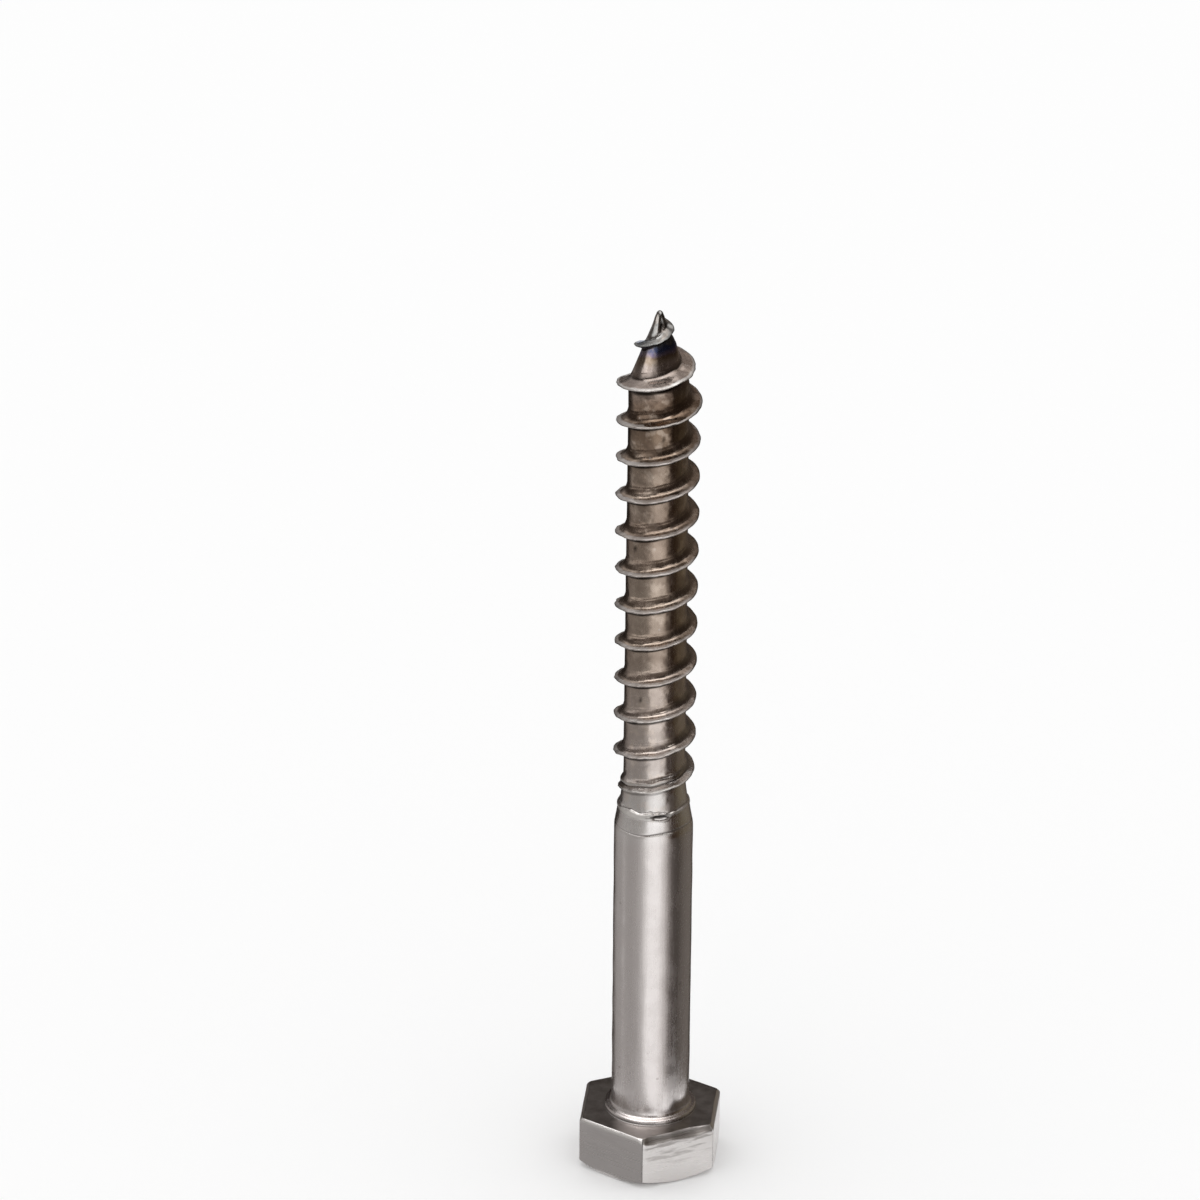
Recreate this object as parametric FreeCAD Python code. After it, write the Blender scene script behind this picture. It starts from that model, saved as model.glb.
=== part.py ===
import FreeCAD, Part
import math
import os

# Lag screw: hexagon head, plain shank, coarse wood thread and gimlet point, in one piece.
# Sizes are in millimetres and angles in degrees. The screw stands on its head. The origin
# is the centre of the head's end face, and +Z runs along the shank to the tip.

# Head
across_flats = 17.0
head_height = 7.0
end_face_diameter = 16.2
end_chamfer_angle = 30.0
head_corner_radius = 0.5
bearing_edge_bevel = 0.45

# Plain shank, with a hollow flare at its foot
length_under_head = 110.0
shank_diameter = 9.8
shank_foot_flare = 0.95

# Shoulder that rounds over to a lip, and above the lip a neck that slims down to the core
shoulder_length = 2.8
lip_diameter = 8.8
lip_drop = 0.3
neck_diameter = 8.3
neck_length = 3.7

# Thread: one ridge, round the core, wound right-handed
thread_length = 66.7
core_diameter = 7.6
thread_depth = 1.3
thread_pitch = 5.0
thread_angle = 40.0
crest_width = 0.2
root_fillet = 0.25
runout_length = 7.5
tip_bearing = 150.0

# Gimlet point: the ridge climbs the cone, gets lower, and sinks in just short of the tip
point_angle = 42.0
tip_flat_diameter = 0.3
point_crest_length = 8.4
fade_length = 2.0
fade_crest_radius = 1.7
ridge_end_gap = 0.7

# The ridge's foot is sunk this far into the core
ridge_seat = 0.5
stations_per_turn = 16
pieces_per_turn = 2

# Places that follow from the sizes
corner_reach = across_flats / math.sqrt(3)
shank_radius = shank_diameter / 2
core_radius = core_diameter / 2
crest_radius = core_radius + thread_depth
lip_radius = lip_diameter / 2
neck_radius = neck_diameter / 2
tip_height = head_height + length_under_head
lip_height = tip_height - thread_length
shoulder_height = lip_height - shoulder_length
cone_slope = math.tan(math.radians(point_angle / 2))
apex_height = tip_height + tip_flat_diameter / 2 / cone_slope
cone_height = apex_height - core_radius / cone_slope
runout_start = lip_height - ridge_end_gap
full_thread_start = runout_start + runout_length
point_thread_start = tip_height - point_crest_length
fade_start = tip_height - fade_length
ridge_end = tip_height - ridge_end_gap


def point(radius, height, bearing=0.0):
    angle = math.radians(bearing)
    return FreeCAD.Vector(radius * math.cos(angle), radius * math.sin(angle), height)


def between(start, end, share):
    return start + (end - start) * share


def turned(outline):
    """The solid that a closed outline of radius and height pairs makes in one turn."""
    corners = [point(radius, height) for radius, height in outline]
    face = Part.Face(Part.makePolygon(corners + corners[:1]))
    return face.revolve(FreeCAD.Vector(0, 0, 0), FreeCAD.Vector(0, 0, 1), 360)


def hexagon_prism():
    """The head's blank, with its six upright corners a little rounded."""
    corners = [point(corner_reach, 0, 60 * side - 30) for side in range(7)]
    prism = Part.Face(Part.makePolygon(corners)).extrude(FreeCAD.Vector(0, 0, head_height))
    upright = [edge for edge in prism.Edges if edge.BoundBox.ZLength > head_height / 2]
    return prism.makeFillet(head_corner_radius, upright)


def end_chamfer():
    """What the six corners of the head's end face are turned down to."""
    end_face_radius = end_face_diameter / 2
    rise = (corner_reach - end_face_radius) * math.tan(math.radians(end_chamfer_angle))
    return turned([
        (0, 0),
        (end_face_radius, 0),
        (corner_reach, rise),
        (corner_reach, head_height),
        (0, head_height),
    ])


def head():
    chamfered = hexagon_prism().common(end_chamfer())
    bearing_rim = [edge for edge in chamfered.Edges if edge.BoundBox.ZMin > head_height / 2]
    return chamfered.makeChamfer(bearing_edge_bevel, bearing_rim)


def body():
    """Foot flare, plain shank, shoulder, neck, core and cone, turned as one outline."""
    flare_hollow = shank_foot_flare * (1 - math.sqrt(0.5))
    shoulder_bend = between(shank_radius, lip_radius, 0.55)
    return turned([
        (0, head_height / 2),
        (shank_radius + shank_foot_flare, head_height / 2),
        (shank_radius + shank_foot_flare, head_height),
        (shank_radius + flare_hollow, head_height + flare_hollow),
        (shank_radius, head_height + shank_foot_flare),
        (shank_radius, shoulder_height),
        (shoulder_bend, between(shoulder_height, lip_height, 0.5)),
        (lip_radius, lip_height),
        (neck_radius, lip_height + lip_drop),
        (core_radius, lip_height + neck_length),
        (core_radius, cone_height),
        (tip_flat_diameter / 2, tip_height),
        (0, tip_height),
    ])


def carrier_radius(height):
    """Radius, at a height, of the core and cone that carry the ridge."""
    return min(core_radius, (apex_height - height) * cone_slope)


def seated_radius(height):
    """Radius of the ridge's foot: sunk into its carrier, and less deep where that is thin."""
    carrier = carrier_radius(height)
    return carrier - ridge_seat * math.sqrt(carrier / core_radius)


def ridge_crest(height):
    """Crest radius of the ridge: full on the body, falling at the run-out and the point."""
    if height < full_thread_start:
        share = (full_thread_start - height) / runout_length
        return crest_radius - (thread_depth + ridge_seat / 2) * share ** 2
    if height < point_thread_start:
        return crest_radius
    if height < fade_start:
        share = (height - point_thread_start) / (fade_start - point_thread_start)
        return between(crest_radius, fade_crest_radius, share)
    share = (height - fade_start) / (ridge_end - fade_start)
    sunk_crest = between(seated_radius(ridge_end), carrier_radius(ridge_end), 0.5)
    return between(fade_crest_radius, sunk_crest, share)


def ridge_profile():
    """Corners of the full section: rise above its foot, and distance along the axis."""
    flank = (thread_depth - root_fillet) * math.tan(math.radians(thread_angle / 2))
    half_crest = crest_width / 2
    half_root = half_crest + flank
    half_foot = half_root + root_fillet + ridge_seat
    return [
        (0, -half_foot),
        (ridge_seat + root_fillet, -half_root),
        (ridge_seat + thread_depth, -half_crest),
        (ridge_seat + thread_depth, half_crest),
        (ridge_seat + root_fillet, half_root),
        (0, half_foot),
    ]


def ridge_section(height):
    """The section at a height, as wide as it is deep there, between its foot and its crest."""
    full_rise = ridge_seat + thread_depth
    scale = (ridge_crest(height) - seated_radius(height)) / full_rise
    bearing = tip_bearing + 360 * (height - tip_height) / thread_pitch
    corners = []
    for rise, offset in ridge_profile():
        level = height + scale * offset
        radius = between(seated_radius(level), ridge_crest(level), rise / full_rise)
        corners.append(point(radius, level, bearing))
    return corners


def ridge_strips(low, high):
    """Faces of the ridge between two heights, in pieces shorter than a turn."""
    turns = (high - low) / thread_pitch
    count = max(4, math.ceil(turns * stations_per_turn))
    shares = [station / count for station in range(count + 1)]
    sections = [ridge_section(between(low, high, share)) for share in shares]
    rails = []
    for corner in range(len(sections[0])):
        rail = Part.BSplineCurve()
        rail.interpolate(Points=[section[corner] for section in sections], Parameters=shares)
        rails.append(rail)
    pieces = math.ceil(turns * pieces_per_turn)
    strips = []
    for piece in range(pieces):
        edges = []
        for rail in rails:
            stretch = rail.copy()
            stretch.segment(piece / pieces, (piece + 1) / pieces)
            edges.append(stretch.toShape())
        for side in range(len(edges)):
            strips.append(Part.makeRuledSurface(edges[side - 1], edges[side]))
    return strips


def thread_ridge():
    """The helical ridge as a closed solid, with its foot and both ends inside the body."""
    bends = [runout_start, full_thread_start, point_thread_start, fade_start, ridge_end]
    faces = []
    for low, high in zip(bends, bends[1:]):
        faces += ridge_strips(low, high)
    for end in (runout_start, ridge_end):
        section = ridge_section(end)
        faces.append(Part.Face(Part.makePolygon(section + section[:1])))
    skin = Part.makeCompound(faces)
    skin.sewShape()
    return Part.makeSolid(Part.Shell(skin.Faces))


def lag_screw():
    return head().fuse(body()).fuse(thread_ridge())


if __name__ == "__main__":
    os.makedirs("parts", exist_ok=True)
    lag_screw().exportStep("parts/lag_screw.step")
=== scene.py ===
import math

import bmesh
import bpy
import numpy as np
from mathutils import Matrix, Vector


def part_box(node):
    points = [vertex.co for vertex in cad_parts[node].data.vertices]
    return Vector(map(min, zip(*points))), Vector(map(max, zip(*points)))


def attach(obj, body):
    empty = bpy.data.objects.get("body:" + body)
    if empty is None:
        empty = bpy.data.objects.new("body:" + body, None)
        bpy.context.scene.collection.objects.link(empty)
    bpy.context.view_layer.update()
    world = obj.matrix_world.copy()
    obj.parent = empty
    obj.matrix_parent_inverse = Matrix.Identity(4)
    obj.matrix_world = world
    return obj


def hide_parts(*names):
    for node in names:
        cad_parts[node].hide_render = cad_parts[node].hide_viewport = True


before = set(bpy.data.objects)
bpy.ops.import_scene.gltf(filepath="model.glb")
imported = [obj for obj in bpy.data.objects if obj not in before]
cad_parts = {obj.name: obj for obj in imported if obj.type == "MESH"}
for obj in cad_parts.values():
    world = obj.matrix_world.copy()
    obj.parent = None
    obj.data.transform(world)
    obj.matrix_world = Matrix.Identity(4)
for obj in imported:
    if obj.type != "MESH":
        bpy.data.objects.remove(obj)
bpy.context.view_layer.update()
low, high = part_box("lag_screw")
mm = 0.001
tipHeight = high.z / mm  # everything below is in millimetres until the mesh is made
acrossFlats = (high.x - low.x) / mm
maskNames = ("bright", "dark", "flank")
chance = np.random.default_rng(41)
print("frame loaded, screw", round(tipHeight, 2), "mm high")


# The camera stands where the photograph was taken from.
camera = {
    "bearing": 5.30,  # degrees round the screw, 0 looks along +Y
    "elevation": 26.33,
    "roll": 0.523,
    "distance": 1.0532,
    "aim": (-0.007545, 0.006455, 0.074398),
    "lens": 255.27,
}


def addPiece(name, data):
    piece = bpy.data.objects.new(name, data)
    bpy.context.scene.collection.objects.link(piece)
    return piece


def makeCamera(s):
    around, up = math.radians(s["bearing"]), math.radians(s["elevation"])
    back = Vector((math.sin(around) * math.cos(up), -math.cos(around) * math.cos(up), math.sin(up)))
    side = Vector((math.cos(around), math.sin(around), 0))
    over = back.cross(side)
    roll = math.radians(s["roll"])
    turnedSide = side * math.cos(roll) + over * math.sin(roll)
    turnedOver = over * math.cos(roll) - side * math.sin(roll)
    data = bpy.data.cameras.new("camera")
    data.lens, data.sensor_width = s["lens"], 36
    data.clip_start, data.clip_end = 0.05, 20
    cam = addPiece("camera", data)
    place = Matrix((turnedSide, turnedOver, back)).transposed().to_4x4()
    place.translation = Vector(s["aim"]) + back * s["distance"]
    cam.matrix_world = place
    bpy.context.scene.camera = cam


makeCamera(camera)


# Sets a node's inputs, or links them where the value is another node's socket.
def setInputs(links, node, values):
    for key, value in values.items():
        if isinstance(value, bpy.types.NodeSocket):
            links.new(value, node.inputs[key])
        else:
            node.inputs[key].default_value = value


def addNode(tree, kind, values=None, **settings):
    node = tree.nodes.new(kind)
    for key, value in settings.items():
        setattr(node, key, value)
    setInputs(tree.links, node, values or {})
    return node


def addGroup(tree, name, values=None):
    return addNode(tree, "ShaderNodeGroup", values, node_tree=bpy.data.node_groups[name]).outputs


# One node of a group for each named set of its inputs, and what each gives.
def patterns(tree, group, s, *names):
    return [addGroup(tree, group, s[name])[0] for name in names]


def calc(tree, operation, *values):
    return addNode(tree, "ShaderNodeMath", dict(enumerate(values)), operation=operation).outputs[0]


def times(tree, first, second):
    return calc(tree, "MULTIPLY", first, second)


def mixColor(tree, share, first, second):
    values = {0: share, 6: first, 7: second}
    values = {key: (*value, 1) if isinstance(value, tuple) else value for key, value in values.items()}
    return addNode(tree, "ShaderNodeMix", values, data_type="RGBA").outputs[2]


def mapRange(tree, value, *limits):
    return addNode(tree, "ShaderNodeMapRange", dict(enumerate((value, *limits)))).outputs[0]


def colorByHeight(tree, share, stops):
    node = addNode(tree, "ShaderNodeValToRGB", {0: share})
    elements = node.color_ramp.elements
    while len(elements) < len(stops):
        elements.new(0.5)
    for element, (height, color) in zip(elements, stops):
        element.position = height / tipHeight
        element.color = (*color, 1)
    return node.outputs["Color"]


def newGroup(name, inputs, output):
    tree = bpy.data.node_groups.new(name, "ShaderNodeTree")
    for label, value in inputs:
        socket = tree.interface.new_socket(label, in_out="INPUT", socket_type="NodeSocketFloat")
        socket.default_value = value
    tree.interface.new_socket(output, in_out="OUTPUT", socket_type="NodeSocketFloat")
    return tree, tree.nodes.new("NodeGroupInput").outputs, tree.nodes.new("NodeGroupOutput").inputs[output]


def objectPlace(tree):
    return tree.nodes.new("ShaderNodeTexCoord").outputs["Object"]


def noiseAt(tree, place, scale, detail, roughness=0.5):
    values = {"Vector": place, "Scale": scale, "Detail": detail, "Roughness": roughness}
    return addNode(tree, "ShaderNodeTexNoise", values).outputs[0]


# Noise about its middle, spread by Contrast and kept from 0 to 1.
def spreadNoise(tree, noise, contrast):
    centred = calc(tree, "SUBTRACT", noise, 0.5)
    spread = calc(tree, "MULTIPLY_ADD", centred, contrast, 0.5)
    return addNode(tree, "ShaderNodeClamp", {0: spread}).outputs[0]


# Streaks of drawing or grinding: noise drawn out, with Around its rate across and Along its rate upwards.
def makeStreaks():
    tree, given, made = newGroup(
        "streaks", [("Around", 2500.0), ("Along", 120.0), ("Contrast", 2.0)], "Value")
    rates = addNode(tree, "ShaderNodeCombineXYZ", {0: given["Around"], 1: given["Around"], 2: given["Along"]})
    drawn = addNode(tree, "ShaderNodeVectorMath",
                    {0: objectPlace(tree), 1: rates.outputs[0]}, operation="MULTIPLY")
    noise = noiseAt(tree, drawn.outputs[0], 1.0, 4.0, 0.6)
    tree.links.new(spreadNoise(tree, noise, given["Contrast"]), made)


# Soft blotches, about as wide as one over Scale.
def makeMottle():
    tree, given, made = newGroup(
        "mottle", [("Scale", 400.0), ("Detail", 4.0), ("Contrast", 2.5)], "Value")
    noise = noiseAt(tree, objectPlace(tree), given["Scale"], given["Detail"], 0.55)
    tree.links.new(spreadNoise(tree, noise, given["Contrast"]), made)


# Small round specks or pits, few and scattered.
def makeSpecks():
    tree, given, made = newGroup(
        "specks", [("Scale", 900.0), ("Size", 0.25), ("Amount", 0.5)], "Mask")
    cells = addNode(tree, "ShaderNodeTexVoronoi", {"Vector": objectPlace(tree), "Scale": given["Scale"]})
    near = mapRange(tree, cells.outputs["Distance"], 0.0, given["Size"], 1.0, 0.0)
    pick = addNode(tree, "ShaderNodeSeparateColor", {0: cells.outputs["Color"]}).outputs[0]
    chosen = calc(tree, "LESS_THAN", pick, given["Amount"])
    tree.links.new(times(tree, near, chosen), made)


# Where edges are rubbed bright: the mesh's rise towards an edge, broken up by noise.
def makeEdgeWear():
    tree, given, made = newGroup(
        "edgeWear", [("Edge", 0.0), ("Start", 0.75), ("Full", 0.95), ("Ragged", 0.25)], "Mask")
    noise = noiseAt(tree, objectPlace(tree), 1300.0, 4.0)
    shift = times(tree, calc(tree, "SUBTRACT", noise, 0.5), given["Ragged"])
    edge = calc(tree, "ADD", given["Edge"], shift)
    tree.links.new(mapRange(tree, edge, given["Start"], given["Full"], 0.0, 1.0), made)


# Height up the screw as a share of the whole, wandering a little and climbing to the right.
def makeHeatHeight():
    tree, given, made = newGroup("heatHeight", [("Wander", 0.001), ("Slant", 0.2)], "Height")
    coords = objectPlace(tree)
    axes = addNode(tree, "ShaderNodeSeparateXYZ", {0: coords}).outputs
    noise = noiseAt(tree, coords, 420.0, 3.0)
    shift = times(tree, calc(tree, "SUBTRACT", noise, 0.5), given["Wander"])
    slanted = times(tree, axes["X"], given["Slant"])
    height = calc(tree, "SUBTRACT", calc(tree, "ADD", axes["Z"], shift), slanted)
    tree.links.new(calc(tree, "DIVIDE", height, tipHeight * mm), made)


def newMaterial(name):
    mat = bpy.data.materials.new(name)
    mat.use_nodes = True
    return mat


# A metal's node tree with its shader and the mesh's three masks: bright, dark and flank.
def newSteel(name):
    tree = newMaterial(name).node_tree
    bsdf = tree.nodes["Principled BSDF"]
    bsdf.inputs["Metallic"].default_value = 1
    masks = [addNode(tree, "ShaderNodeAttribute", attribute_name=mask).outputs["Fac"] for mask in maskNames]
    return tree, bsdf, masks


makeStreaks()
makeMottle()
makeSpecks()
makeEdgeWear()
makeHeatHeight()
print("node groups ready")


# Shank and thread share one finish, so the neck has no seam. The thread is browner towards the point, and
# the point has its blue and straw bands of heat tint. Tints stand at heights in millimetres. A rise
# goes from one value to another, and has the shares that it gives at both.
bodySteel = {
    "slant": 0.22,
    "wander": 0.0013,
    "tint": [
        (7, (0.84, 0.79, 0.775)), (46, (0.86, 0.81, 0.79)), (48.5, (0.95, 0.915, 0.9)),
        (52, (0.9, 0.87, 0.85)), (56, (0.72, 0.65, 0.61)), (66, (0.66, 0.565, 0.505)),
        (72, (0.53, 0.43, 0.355)), (80, (0.55, 0.45, 0.37)), (88, (0.46, 0.36, 0.29)),
        (96, (0.42, 0.335, 0.27)), (102, (0.27, 0.195, 0.14)), (106, (0.27, 0.195, 0.145)),
        (108.2, (0.4, 0.33, 0.29)), (109.6, (0.66, 0.57, 0.52)), (110.8, (0.7, 0.6, 0.55)),
        (111.3, (0.42, 0.32, 0.2)), (111.65, (0.28, 0.2, 0.16)), (111.95, (0.34, 0.28, 0.42)),
        (112.2, (0.1, 0.14, 0.36)), (112.6, (0.055, 0.105, 0.28)), (113.05, (0.09, 0.14, 0.28)),
        (113.4, (0.26, 0.33, 0.36)), (113.75, (0.56, 0.57, 0.56)), (117, (0.68, 0.68, 0.67))],
    "worn": [
        (48, (0.88, 0.86, 0.83)), (51.6, (0.84, 0.82, 0.79)), (56, (0.66, 0.63, 0.61)),
        (84, (0.63, 0.595, 0.575)), (98, (0.7, 0.66, 0.64)), (103, (0.6, 0.57, 0.55)),
        (106, (0.88, 0.86, 0.84)), (109, (0.8, 0.78, 0.76)), (113, (0.4, 0.41, 0.4))],
    "dark": (0.012, 0.008, 0.006),
    "stain": (0.15, 0.105, 0.08),
    "warmHighlight": (0.86, 0.73, 0.62),
    "roughness": (0.17, 0.34),
    "wornRoughness": 0.2,
    "drawn": {"Around": 2600.0, "Along": 90.0, "Contrast": 2.2},
    "mottle": {"Scale": 420.0, "Contrast": 2.8},
    "dents": {"Scale": 700.0, "Detail": 1.5, "Contrast": 1.6},
    "fine": {"Scale": 2600.0, "Detail": 2.0, "Contrast": 1.6},
    "highlightBlotches": {"Scale": 560.0, "Detail": 3.0, "Contrast": 4.5},
    "darkSpecks": {"Scale": 800.0, "Size": 0.2, "Amount": 0.07},
    "lightSpecks": {"Scale": 1500.0, "Size": 0.28, "Amount": 0.1},
    "edge": {"Start": 0.3, "Full": 0.52, "Ragged": 0.34},
    "threadRise": (0.4, 0.46, 0.0, 1.0),  # up the height, where drawn steel gives way to thread
    "stainRise": (0.42, 0.62, 0.07, 0.42),
    "flankDarker": 0.25,
    "blotchRise": (0.62, 1.0, 0.0, 0.3),
    "wornRise": (0.2, 0.9, 1.0, 0.6),  # less worn where the mottle is strong
    "lightSpeckShare": 0.5,
    "darkSpeckShare": 0.55,
    "darkShare": 0.92,
    "drawnRelief": 0.45,
    "fineRelief": 0.3,
    "wornRelief": 0.8,
    "speckRelief": 1.2,
    "reliefBump": {"Strength": 0.35, "Distance": 0.00003},
    "threadDents": (0.0, 1.0, 0.12, 2.0),
    "flankDents": (0.0, 1.0, 1.0, 0.35),
    "dentBump": {"Strength": 0.6, "Distance": 0.00006},
}


def makeBodySteel(s):
    tree, bsdf, (bright, dark, flank) = newSteel("bodySteel")
    height = addGroup(tree, "heatHeight", {"Wander": s["wander"], "Slant": s["slant"]})["Height"]
    threaded = mapRange(tree, height, *s["threadRise"])
    plain = calc(tree, "SUBTRACT", 1.0, threaded)
    drawn = addGroup(tree, "streaks", s["drawn"])["Value"]
    mottle, dents, fine, highlightBlotches = patterns(tree, "mottle", s, "mottle", "dents", "fine", "highlightBlotches")
    darkSpecks, lightSpecks = patterns(tree, "specks", s, "darkSpecks", "lightSpecks")
    wear = addGroup(tree, "edgeWear", {"Edge": bright, **s["edge"]})["Mask"]
    # stains are stronger up the thread than on the drawn shank
    strength = times(tree, mottle, mapRange(tree, height, *s["stainRise"]))
    stained = mixColor(tree, strength, colorByHeight(tree, height, s["tint"]), s["stain"])
    # the upper flank's inner part is darker by this share
    stained = mixColor(tree, times(tree, flank, s["flankDarker"]), stained, s["stain"])
    # pale warm blotches up the thread: painted highlights
    blotched = times(tree, mapRange(tree, highlightBlotches, *s["blotchRise"]), threaded)
    stained = mixColor(tree, blotched, stained, s["warmHighlight"])
    wornColor = colorByHeight(tree, height, s["worn"])
    worn = mixColor(tree, times(tree, wear, mapRange(tree, mottle, *s["wornRise"])), stained, wornColor)
    specked = mixColor(tree, times(tree, lightSpecks, s["lightSpeckShare"]), worn, wornColor)
    specked = mixColor(tree, times(tree, darkSpecks, s["darkSpeckShare"]), specked, s["stain"])
    # the dark mask: painted shade under and round the ridges, in the lip's tear and grooves, at the collar's
    # foot and on the point, and the real pits
    color = mixColor(tree, times(tree, dark, s["darkShare"]), specked, s["dark"])
    tree.links.new(color, bsdf.inputs["Base Color"])
    grain = calc(tree, "ADD", times(tree, drawn, 0.5), times(tree, mottle, 0.5))
    rough = mapRange(tree, grain, 0.2, 0.8, *s["roughness"])
    tree.links.new(calc(tree, "MULTIPLY_ADD", wear, s["wornRoughness"], rough), bsdf.inputs["Roughness"])
    relief = calc(tree, "ADD", times(tree, times(tree, drawn, plain), s["drawnRelief"]),
                  times(tree, fine, s["fineRelief"]))
    relief = calc(tree, "ADD", relief, times(tree, times(tree, fine, wear), s["wornRelief"]))
    relief = calc(tree, "SUBTRACT", relief, times(tree, darkSpecks, s["speckRelief"]))
    small = addNode(tree, "ShaderNodeBump", {"Height": relief, **s["reliefBump"]})
    dented = times(tree, dents, mapRange(tree, threaded, *s["threadDents"]))
    dented = times(tree, dented, mapRange(tree, flank, *s["flankDents"]))
    large = addNode(tree, "ShaderNodeBump", {"Height": dented, "Normal": small.outputs[0], **s["dentBump"]})
    tree.links.new(large.outputs[0], bsdf.inputs["Normal"])


# On the head the dark mask paints shade on the bearing face and the rolled bevel, and the bright mask paints
# a highlight on the left bevel besides the worn edges; the flank mask marks the streaks of grinding.
headSteel = {
    "color": (0.745, 0.715, 0.7),
    "dark": (0.3, 0.275, 0.26),
    "paintedShade": (0.33, 0.305, 0.29),
    "edge": (0.93, 0.91, 0.89),
    "roughness": (0.24, 0.36),
    "ground": {"Around": 90.0, "Along": 3600.0, "Contrast": 2.2},
    "dashes": {"Around": 210.0, "Along": 1700.0, "Contrast": 3.0},
    "mottle": {"Scale": 700.0, "Contrast": 2.4},
    "fine": {"Scale": 3000.0, "Detail": 2.0, "Contrast": 1.6},
    "wear": {"Start": 0.35, "Full": 0.75, "Ragged": 0.25},
    "dashRise": (0.6, 0.92, 0.0, 0.75),
    "cloudShare": 0.06,
    "paintedShadeRise": (0.15, 0.9, 1.0, 0.55),
    "edgeShare": 0.9,
    "groundRelief": 0.6,
    "rolledRelief": 2.0,
    "fineRelief": 0.2,
    "reliefBump": {"Strength": 0.35, "Distance": 0.00003},
}


def makeHeadSteel(s):
    tree, bsdf, (bright, dark, streaked) = newSteel("headSteel")
    ground, dashes = patterns(tree, "streaks", s, "ground", "dashes")
    mottle, fine = patterns(tree, "mottle", s, "mottle", "fine")
    # the bright mask: worn edges, and a painted highlight along the left bevel
    wear = addGroup(tree, "edgeWear", {"Edge": bright, **s["wear"]})["Mask"]
    line = times(tree, mapRange(tree, dashes, *s["dashRise"]), streaked)
    lined = mixColor(tree, line, s["color"], s["dark"])
    clouded = mixColor(tree, times(tree, mottle, s["cloudShare"]), lined, s["dark"])
    # the dark mask paints shade on the bearing face and the right bevel, broken up by the mottle
    paintedShadeShare = times(tree, dark, mapRange(tree, mottle, *s["paintedShadeRise"]))
    paintedShade = mixColor(tree, paintedShadeShare, clouded, s["paintedShade"])
    edged = mixColor(tree, times(tree, wear, s["edgeShare"]), paintedShade, s["edge"])
    tree.links.new(edged, bsdf.inputs["Base Color"])
    tree.links.new(mapRange(tree, ground, 0.1, 0.9, *s["roughness"]), bsdf.inputs["Roughness"])
    dented = calc(tree, "ADD", times(tree, times(tree, mottle, dark), s["rolledRelief"]),
                  times(tree, fine, s["fineRelief"]))
    relief = calc(tree, "ADD", times(tree, times(tree, ground, streaked), s["groundRelief"]), dented)
    bump = addNode(tree, "ShaderNodeBump", {"Height": relief, **s["reliefBump"]})
    tree.links.new(bump.outputs[0], bsdf.inputs["Normal"])


makeBodySteel(bodySteel)
makeHeadSteel(headSteel)
print("steel finishes ready")


# The screw is one skin of columns, from the end face up to the tip. Sizes are in millimetres.
screw = {
    "columns": 168,
    "headHeight": 7.0,
    "endFaceRadius": 8.1,
    "endChamferAngle": 30.0,
    "cornerRound": 0.5,
    "footRadius": 5.8,
    "joinHeight": 51.9,  # straight rows up to here, and above it rows that wind with the thread
    "threadDepth": 1.3,
    "coreRadius": 3.8,
    "pitch": 5.0,
    "tipBearing": 150.0,
    "ridgeSeat": 0.5,
    "flankSlope": 3.0,
    "crestHalf": 0.03,
    "crestEdge": 0.055,
    "rootBlend": 0.29,
    "fullThread": 57.1,
    "runout": 7.5,
    "pointCrest": 8.4,
    "fadeLength": 2.0,
    "fadeRadius": 1.7,
    "endCrest": 0.25,
    "endGap": 0.7,
    "upperGain": 0.06,  # the crest stands out by this much more from the second height up
    "gainHeights": (66, 102),
    "coneGain": (105.2, 1.6, 0.16),  # and more still below the cone: height, spread and size
    "pointAngle": 42.0,
    "tipRadius": 0.15,
    "tipRound": 0.28,
}
# Height and radius along the shank, from the collar at its foot to the thread's core.
collarProfile = [
    (7.0, 5.8), (7.2, 5.8), (7.34, 5.77), (7.45, 5.69), (7.52, 5.59), (7.56, 5.47), (7.59, 5.34),
    (7.63, 5.22), (7.7, 5.12), (7.82, 5.03), (8.0, 4.96), (8.3, 4.915), (8.8, 4.9)]
neckProfile = [
    (8.8, 4.9), (46.7, 4.92), (47.2, 4.91), (47.6, 4.86), (48.1, 4.76), (48.9, 4.61), (49.6, 4.5),
    (50.1, 4.43), (50.4, 4.36), (50.6, 4.22), (50.9, 4.15), (51.4, 4.11), (52.0, 4.03), (52.8, 3.94),
    (54.0, 3.83), (66.0, 3.82), (84.0, 3.78), (103.0, 3.7), (107.6, 3.7)]
columns = screw["columns"]
columnAngles = np.arange(columns) * 2 * math.pi / columns - math.radians(30)
coneSlope = math.tan(math.radians(screw["pointAngle"] / 2))
apexHeight = tipHeight + screw["tipRadius"] / coneSlope
crestFull = screw["coreRadius"] + screw["threadDepth"]
full = screw["threadDepth"] + screw["ridgeSeat"]


# Smooth seeded unevenness, about -1 to 1, that closes on itself round the screw.
def newWaves(around, along, count):
    turns = chance.integers(0, around + 1, count)
    rates = chance.uniform(-1, 1, count) * along
    starts = chance.uniform(0, 2 * math.pi, count)

    def value(angle, z):
        total = 0
        for turn, rate, start in zip(turns, rates, starts):
            total = total + np.cos(turn * angle + rate * z + start)
        return total / math.sqrt(count)
    return value


wavy = {
    "shank": newWaves(6, 0.5, 12),
    "core": newWaves(9, 1.6, 22),
    "crestLine": newWaves(10, 1.4, 14),
    "crestReach": newWaves(24, 2.6, 20),
    "lipLine": newWaves(30, 0.0, 14),
    "lipRaise": newWaves(13, 0.0, 8),
    "bevel": newWaves(46, 0.0, 16),
    "bevelSlow": newWaves(14, 0.0, 8),
}


def bell(distance, width):
    return np.exp(-(distance / width) ** 2)


# From 0 to 1 as the value goes from start to end, which may be the lower of the two.
def ramp(value, start, end):
    return np.clip((value - start) / (end - start), 0, 1)


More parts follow.
